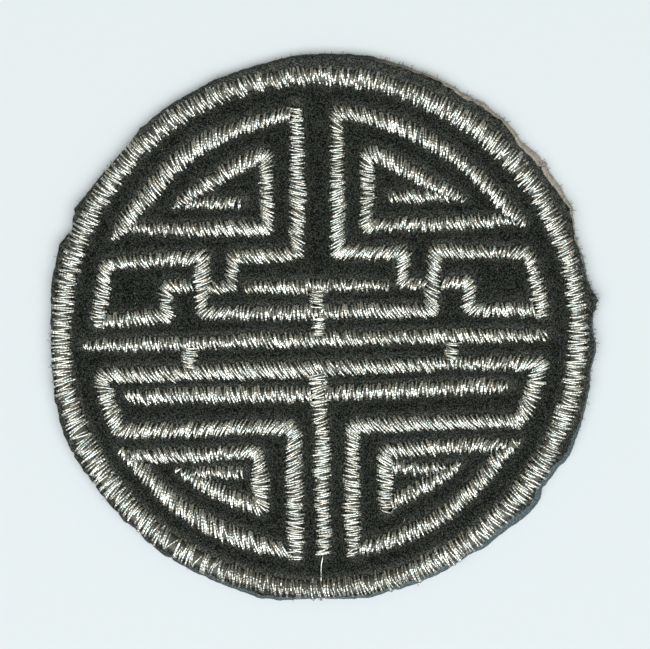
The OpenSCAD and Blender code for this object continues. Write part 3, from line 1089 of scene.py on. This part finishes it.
def felt_piece(finder, finish):
    """The felt: one closed sheet whose cut edge slopes outwards to the back."""
    bearings = 840
    face_rings = 92
    back_rings = 12
    fluff_and_light_fade = 0.34 * millimetre
    bare_fade = 0.2 * millimetre
    back_rim = 0.12
    points = []
    bare_share = []
    cut_share = []
    near_share = []
    fray_share = []

    def put(place, bare, cut, near=0.0):
        points.append(place)
        bare_share.append(bare)
        cut_share.append(cut)
        near_share.append(near)
        fray_share.append(least_fray + humps(math.atan2(place.y, place.x), fray_humps))

    edges = []
    for i in range(bearings):
        angle = 2 * math.pi * i / bearings
        rough = (0.10 * ragged(angle, 3.1, 24) + 0.045 * ragged(angle, 5.5, 95)) * millimetre
        reach = outline_reach(angle) + lip(angle) + rough - nick_depth(angle)
        inset = lip(angle) + cut_width(angle) * (1 + 0.45 * ragged(angle, 8.7, 30))
        edges.append((Vector((math.cos(angle), math.sin(angle), 0)), reach, inset))

    put(Vector((0, 0, face_level(Vector((0, 0, 0)), finder))), 1.0, 0.0)
    for ring in range(1, face_rings + 1):
        share = ring / face_rings
        for way, reach, inset in edges:
            flat = way * (reach - inset) * share
            bare = bare_distance(flat, finder)
            flat.z = face_level(flat, finder)
            # Paler felt near a column: pale fluff, with painted light above the column; and the paler margin
            # outside the ring.
            near = math.exp(-max(0.0, bare) / fluff_and_light_fade) * fluff_and_light_share(flat, finder)
            near = max(near, outside_share(flat))
            put(flat, eased(bare / bare_fade), 0.0, near)
    # Each step of the cut edge: share of the inset still left, height, millimetres of tear
    cut_steps = [
        (0.80, felt_top - 0.09 * millimetre, 0.05), (0.52, felt_top * 0.72, 0.05),
        (0.26, felt_top * 0.44, 0.05), (0.06, felt_top * 0.20, 0.05), (0.0, felt_top * 0.06, 0.05),
        (0.12, 0.0, 0.015)]
    for step, (left, height, torn) in enumerate(cut_steps):
        for i, (way, reach, inset) in enumerate(edges):
            tear = torn * millimetre * ragged(2 * math.pi * i / bearings, 20 + step, 60)
            flat = way * (reach - inset * left + tear)
            put(Vector((flat.x, flat.y, height)), 1.0, 1.0)
    for ring in range(back_rings):
        share = 1 - (ring + 1) / (back_rings + 1)
        hollow = back_hollow * eased((1 - share) / back_rim)
        for way, reach, inset in edges:
            flat = way * reach * share
            put(Vector((flat.x, flat.y, hollow)), 1.0, 0.0)
    put(Vector((0, 0, back_hollow)), 1.0, 0.0)

    all_rings = face_rings + len(cut_steps) + back_rings
    last = len(points) - 1
    last_ring = 1 + (all_rings - 1) * bearings
    faces = [(0, 1 + i, 1 + (i + 1) % bearings) for i in range(bearings)]
    faces += band_faces(1, all_rings, bearings)
    faces += [(last, last_ring + (i + 1) % bearings, last_ring + i) for i in range(bearings)]
    piece = new_piece("felt_sheet", points, faces, finish)
    carried = {"bare": bare_share, "cut": cut_share, "near": near_share, "fray": fray_share}
    for name, shares in carried.items():
        piece.data.attributes.new(name, "FLOAT", "POINT").data.foreach_set("value", shares)
    return piece


fuzz_sizes = ("Density", "Edge Density", "Fibre Length", "Fibre Radius")
fuzz_inputs = [(name, "NodeSocketFloat") for name in fuzz_sizes]
fuzz_inputs += [("Seed", "NodeSocketInt"), ("Finish", "NodeSocketMaterial")]


def fibre_layer(plan, given, density, selection, tilt_low, tilt_high, seed_step):
    """Bent fibres set on the felt's faces at random turns and tilts."""
    seed = given["Seed"] + seed_step
    scatter = plan.add(
        "GeometryNodeDistributePointsOnFaces", {"distribute_method": "RANDOM"},
        {"Mesh": given["Geometry"], "Selection": selection, "Density": density, "Seed": seed})
    surface = scatter.other("Rotation")
    long = given["Fibre Length"]
    middle = plan.add("ShaderNodeCombineXYZ", None, {"X": long * 0.22, "Z": long * 0.5})
    tip = plan.add("ShaderNodeCombineXYZ", None, {"X": long * 0.05, "Y": long * 0.2, "Z": long})
    arc = plan.add(
        "GeometryNodeCurveQuadraticBezier", None,
        {"Resolution": 3, "Start": (0, 0, 0), "Middle": middle, "End": tip})
    profile = circle(plan, 3, given["Fibre Radius"])
    fibre = plan.add(
        "GeometryNodeCurveToMesh", None, {"Curve": arc, "Profile Curve": profile, "Fill Caps": False})
    index = plan.add("GeometryNodeInputIndex")
    turn = random_number(plan, 0.0, 2 * math.pi, index, seed + 1)
    tilt = random_number(plan, tilt_low, tilt_high, index, seed + 2)
    lean = plan.add("ShaderNodeCombineXYZ", None, {"X": tilt, "Z": turn})
    spin = plan.add("FunctionNodeEulerToRotation", None, {0: lean})
    rotation = plan.add("FunctionNodeRotateRotation", {"rotation_space": "LOCAL"}, {0: surface, 1: spin})
    size = random_number(plan, 0.5, 1.5, index, seed + 3)
    return plan.add(
        "GeometryNodeInstanceOnPoints", None,
        {"Points": scatter, "Instance": fibre, "Rotation": rotation, "Scale": size})


def fuzz_tree():
    """Tree of the felt's nap: flat-lying fibres on its face and looser ones on its cut edge."""
    plan, given = geometry_plan("felt nap", fuzz_inputs)
    bare = named_value(plan, "bare")
    cut = named_value(plan, "cut")
    fray = named_value(plan, "fray")
    position = plan.add("GeometryNodeInputPosition")
    height = plan.add("ShaderNodeSeparateXYZ", None, {0: position}).other("Z")
    on_face = height.math("GREATER_THAN", felt_top * 0.85) * (1 - cut)
    on_edge = cut * height.math("GREATER_THAN", felt_top * 0.1)
    flat_lying = (1.15, 1.62)
    standing_off = (0.3, 1.5)
    face = fibre_layer(plan, given, given["Density"] * bare, on_face, *flat_lying, 20)
    edge = fibre_layer(plan, given, given["Edge Density"] * fray, on_edge, *standing_off, 40)
    both = plan.add("GeometryNodeJoinGeometry", None, {0: face})
    plan.tree.links.new(edge.socket, both.socket.node.inputs[0])
    loose = plan.add("GeometryNodeRealizeInstances", None, {"Geometry": both})
    place = plan.add("GeometryNodeInputPosition")
    parts = plan.add("ShaderNodeSeparateXYZ", None, {0: place})
    above_floor = parts.other("Z").math("MAXIMUM", 0.02 * millimetre)
    held_up = plan.add("ShaderNodeCombineXYZ", None, {"X": parts, "Y": parts.other("Y"), "Z": above_floor})
    rested = plan.add("GeometryNodeSetPosition", None, {"Geometry": loose, "Position": held_up})
    finish_geometry(plan, rested, given["Finish"])
    return plan.tree


def felt_fuzz(felt, finish):
    inputs = {
        "Density": 2.4e6,
        "Edge Density": 6.0e6,
        "Fibre Length": 0.36 * millimetre,
        "Fibre Radius": 0.014 * millimetre,
        "Seed": 7,
        "Finish": finish,
    }
    return worked("felt_fuzz", felt.data.copy(), fuzz_tree(), inputs)


# Finishes


def shader_plan(name):
    material = bpy.data.materials.new(name)
    material.use_nodes = True
    material.node_tree.nodes.clear()
    return material, Plan(material.node_tree)


def end_shader(plan, sockets, fixed):
    """The main shader: sockets that vary over the surface, and numbers that are the same all over."""
    shader = plan.add("ShaderNodeBsdfPrincipled", None, {**fixed, **sockets})
    out = plan.tree.nodes.new("ShaderNodeOutputMaterial")
    plan.join(shader, out.inputs["Surface"])


def mixed_colour(plan, share, low, high):
    return plan.add(
        "ShaderNodeMix", {"data_type": "RGBA"}, {"Factor": share, "A": low, "B": high})


def noise_value(plan, place, scale, detail=3.0, roughness=0.55):
    return plan.add(
        "ShaderNodeTexNoise", {"noise_dimensions": "3D"},
        {"Vector": place, "Scale": scale, "Detail": detail, "Roughness": roughness})


def object_place(plan):
    return plan.add("ShaderNodeTexCoord").other("Object")


def attribute_value(plan, name):
    settings = {"attribute_type": "GEOMETRY", "attribute_name": name}
    return plan.add("ShaderNodeAttribute", settings).other("Fac")


def bump_of(plan, strength, depth, height):
    return plan.add("ShaderNodeBump", None, {"Strength": strength, "Distance": depth, "Height": height})


def wound(laid, turn_length, drift=0.0):
    """From nothing to one and back over each turn of a thread's winding."""
    return ((laid * (2 * math.pi / turn_length) + drift).math("SINE") + 1) * 0.5


def silver_thread_finish():
    """Metallic thread: a narrow silver foil wound round a core, each pass a little brighter or duller.

    It has a slight warm and cool change of tint, and it is made duller towards the foot of the patch.
    """
    foil_turn = 0.34 * millimetre
    foot_start = 26.8 * millimetre
    foot_fade = 2.2 * millimetre
    foot_dulling = 0.34
    material, plan = shader_plan("silver_thread")
    tone = attribute_value(plan, "tone")
    laid = attribute_value(plan, "laid")
    place = object_place(plan)
    drift = noise_value(plan, place, 900.0, 2.0)
    wrap = wound(laid, foil_turn, drift * 5)
    seam = wrap ** 6
    tarnish = noise_value(plan, place, 260.0, 3.0)
    fleck = ((noise_value(plan, place, 2600.0, 1.0) - 0.5) * 2.6 + 0.5).kept()
    # Duller towards the foot of the patch.
    darker_at_foot = ((place.dotted((0, -1, 0)) - foot_start) / foot_fade).kept() * foot_dulling
    shade = (tone * 0.62 + tarnish * 0.40 + seam * 0.20 + (fleck - 0.5) * 0.55 + darker_at_foot).kept()
    dull_silver = (0.30, 0.297, 0.272, 1)
    bright_silver = (0.96, 0.965, 0.95, 1)
    warm = (1.0, 0.94, 0.87, 1)
    cool = (0.87, 0.98, 1.0, 1)
    plain = mixed_colour(plan, 1 - shade, dull_silver, bright_silver)
    tint = ((noise_value(plan, place, 1900.0, 1.0) - 0.5) * 3.4 + 0.5).kept()
    glint = mixed_colour(plan, tint, warm, cool)
    tinting = {"data_type": "RGBA", "blend_type": "MULTIPLY"}
    colour = plan.add("ShaderNodeMix", tinting, {"Factor": 1.0, "A": plain, "B": glint})
    roughness = 0.20 + 0.14 * tone + 0.12 * seam
    bump = bump_of(plan, 0.7, 0.025 * millimetre, wrap + drift * 0.5)
    end_shader(plan, {"Base Color": colour, "Roughness": roughness, "Normal": bump}, {"Metallic": 1.0})
    return material


def padding_finish():
    """The padding rows of the same silver thread, painted dark as the shade seen between the passes."""
    material, plan = shader_plan("padding_painted_shade")
    place = object_place(plan)
    grain = noise_value(plan, place, 5200.0)
    colour = mixed_colour(plan, grain, (0.030, 0.030, 0.026, 1), (0.16, 0.16, 0.14, 1))
    bump = bump_of(plan, 0.8, 0.05 * millimetre, grain)
    end_shader(plan, {"Base Color": colour, "Normal": bump}, {"Roughness": 0.5, "Metallic": 0.9})
    return material


def fine_strands(plan, place, scale, turn):
    """Fibres that all lie about one way, as streaks of noise."""
    streaked = plan.add(
        "ShaderNodeMapping", None, {"Vector": place, "Scale": scale, "Rotation": (0, 0, turn)})
    return noise_value(plan, streaked, 10500.0, 1.0)


def felt_finish():
    """Black felt of short matted fibres; its cut edge has a tan painted shadow at the upper right and is bluish
    grey elsewhere, with painted light and shade.
    """
    material, plan = shader_plan("black_felt")
    place = object_place(plan)
    cut = attribute_value(plan, "cut")
    near = attribute_value(plan, "near")
    matted = noise_value(plan, place, 8200.0, 2.0, 0.7)
    patches = noise_value(plan, place, 420.0, 3.0)
    strands = fine_strands(plan, place, (1.0, 0.4, 1.0), 0.6)
    cross_strands = fine_strands(plan, place, (0.4, 1.0, 1.0), -0.5)
    matting = matted + strands + cross_strands - 1.5
    fibre = (matting * 4.6 + 0.34 + (patches - 0.5) * 0.5).kept() ** 1.6
    dark = mixed_colour(plan, patches, (0.0010, 0.0018, 0.0015, 1), (0.0026, 0.0034, 0.0028, 1))
    light = mixed_colour(plan, patches, (0.034, 0.041, 0.035, 1), (0.050, 0.055, 0.046, 1))
    # Pale fluff beside the columns with painted light on the felt above them, and the paler margin outside the
    # ring.
    fluff_and_lit_felt = mixed_colour(plan, fibre, (0.036, 0.040, 0.036, 1), (0.200, 0.205, 0.186, 1))
    face = mixed_colour(plan, near, mixed_colour(plan, fibre, dark, light), fluff_and_lit_felt)

    # Painted light and shade on the cut edge: lighter and bluer where it faces the lower right, on the lamp's
    # side, darker away from it. At the upper right it is painted tan, a painted shadow.
    lower_right_way = (0.82, -0.50, 0.0)
    upper_right_way = (0.7, 0.7, 0.0)
    way = place.vector_math("NORMALIZE")
    lit = ((way.dotted(lower_right_way) + 0.10) / 0.55).kept()
    upper_right = ((way.dotted(upper_right_way) - 0.80) / 0.14).kept()
    in_shade = mixed_colour(plan, fibre, (0.020, 0.024, 0.026, 1), (0.13, 0.13, 0.125, 1))
    in_light = mixed_colour(plan, fibre, (0.043, 0.060, 0.068, 1), (0.19, 0.245, 0.265, 1))
    tan = mixed_colour(plan, fibre, (0.37, 0.330, 0.285, 1), (0.64, 0.595, 0.54, 1))
    edge = mixed_colour(plan, upper_right, mixed_colour(plan, lit, in_shade, in_light), tan)
    colour = mixed_colour(plan, cut, face, edge)
    bump = bump_of(plan, 0.9, 0.12 * millimetre, matted * 0.6 + strands * 0.4)
    end_shader(plan, {"Base Color": colour, "Normal": bump}, {"Roughness": 0.95, "Specular IOR Level": 0.06})
    return material


def fuzz_finish():
    """Loose fibres of the felt, dark green-grey."""
    material, plan = shader_plan("felt_fibre")
    place = object_place(plan)
    patches = noise_value(plan, place, 1500.0, 2.0)
    colour = mixed_colour(plan, patches, (0.002, 0.003, 0.002, 1), (0.030, 0.036, 0.032, 1))
    end_shader(plan, {"Base Color": colour}, {"Roughness": 0.7, "Specular IOR Level": 0.15})
    return material


def lint_finish():
    """Pale grey lint, matt."""
    material, plan = shader_plan("pale_lint")
    grain = noise_value(plan, object_place(plan), 2400.0, 2.0)
    colour = mixed_colour(plan, grain, (0.16, 0.16, 0.15, 1), (0.62, 0.62, 0.60, 1))
    end_shader(plan, {"Base Color": colour}, {"Roughness": 0.85, "Specular IOR Level": 0.2})
    return material


def bobbin_finish():
    """Black bobbin thread with a faint sheen."""
    material, plan = shader_plan("bobbin_thread")
    tone = attribute_value(plan, "tone")
    laid = attribute_value(plan, "laid")
    ply = wound(laid, 0.2 * millimetre)
    colour = mixed_colour(plan, tone * 0.6 + ply * 0.4, (0.012, 0.012, 0.013, 1), (0.050, 0.050, 0.052, 1))
    bump = bump_of(plan, 0.4, 0.02 * millimetre, ply)
    end_shader(plan, {"Base Color": colour, "Normal": bump}, {"Roughness": 0.55})
    return material


def floor_finish():
    """Pale bluish white, matt, with hardly any grain."""
    material, plan = shader_plan("pale_floor")
    grain = noise_value(plan, object_place(plan), 900.0, 2.0)
    colour = mixed_colour(plan, grain, (0.673, 0.719, 0.765, 1), (0.685, 0.731, 0.777, 1))
    end_shader(plan, {"Base Color": colour}, {"Roughness": 0.9, "Specular IOR Level": 0.1})
    return material


# Floor, lights and camera


def pale_floor(finish):
    half = 3.0
    points = [(-half, -half, 0), (half, -half, 0), (half, half, 0), (-half, half, 0)]
    floor = new_piece("floor", points, [(0, 1, 2, 3)], finish, smooth=False)


def strip_lamp(name, distance, from_above, size_x, size_y, power, colour):
    """A long lamp on the near side, whose length runs left to right and which looks at the patch."""
    lamp = bpy.data.lights.new(name, "AREA")
    lamp.shape = "RECTANGLE"
    lamp.size = size_x
    lamp.size_y = size_y
    lamp.energy = power
    lamp.color = colour
    holder = bpy.data.objects.new(name, lamp)
    angle = math.radians(from_above)
    holder.location = (0, -distance * math.sin(angle), distance * math.cos(angle))
    holder.rotation_euler = (angle, 0, 0)
    bpy.context.scene.collection.objects.link(holder)


def soft_sky(strength):
    world = bpy.data.worlds.new("soft_sky")
    world.use_nodes = True
    back = world.node_tree.nodes["Background"]
    back.inputs["Color"].default_value = (0.99, 0.97, 0.80, 1)
    back.inputs["Strength"].default_value = strength
    bpy.context.scene.world = world


def place_camera():
    """Straight above the photograph's middle, as far off as the lens needs for the photograph's field."""
    camera = bpy.data.cameras.new("camera")
    camera.lens = lens_length
    camera.sensor_width = sensor_width
    camera.clip_start = 0.01
    camera.clip_end = 50
    field = photo_wide * chart_step
    distance = field / 2 / (sensor_width / 2 / lens_length)
    holder = bpy.data.objects.new("camera", camera)
    holder.location = charted(photo_middle_x, photo_middle_y, felt_top + distance)
    bpy.context.scene.collection.objects.link(holder)
    bpy.context.scene.camera = holder


def dress():
    silver = silver_thread_finish()
    felt_black = felt_finish()
    fibre = fuzz_finish()
    all_runs = finished_runs()
    finder = column_finder(all_runs)

    felt = felt_piece(finder, felt_black)
    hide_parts("felt_ground")
    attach(felt, "root")

    fuzz = felt_fuzz(felt, fibre)
    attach(fuzz, "root")

    tree = satin_tree()
    for number, run in enumerate(all_runs):
        thread = column_thread(run, tree, silver, 100 + 10 * number)
        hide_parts(run.name)
        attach(thread, "root")

    loose = loose_thread(silver)
    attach(loose, "root")

    specks = lint(finder, lint_finish())
    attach(specks, "root")

    cords = padding(all_runs, padding_finish())
    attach(cords, "root")

    bobbin = bobbin_rows(all_runs, tree, bobbin_finish())
    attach(bobbin, "root")


place_camera()
pale_floor(floor_finish())
strip_lamp(
    "strip_lamp", distance=2.0, from_above=25, size_x=5.0, size_y=1.6, power=76, colour=(0.97, 1.0, 1.0))
soft_sky(strength=0.33)
bpy.context.scene.view_settings.view_transform = "Standard"
dress()
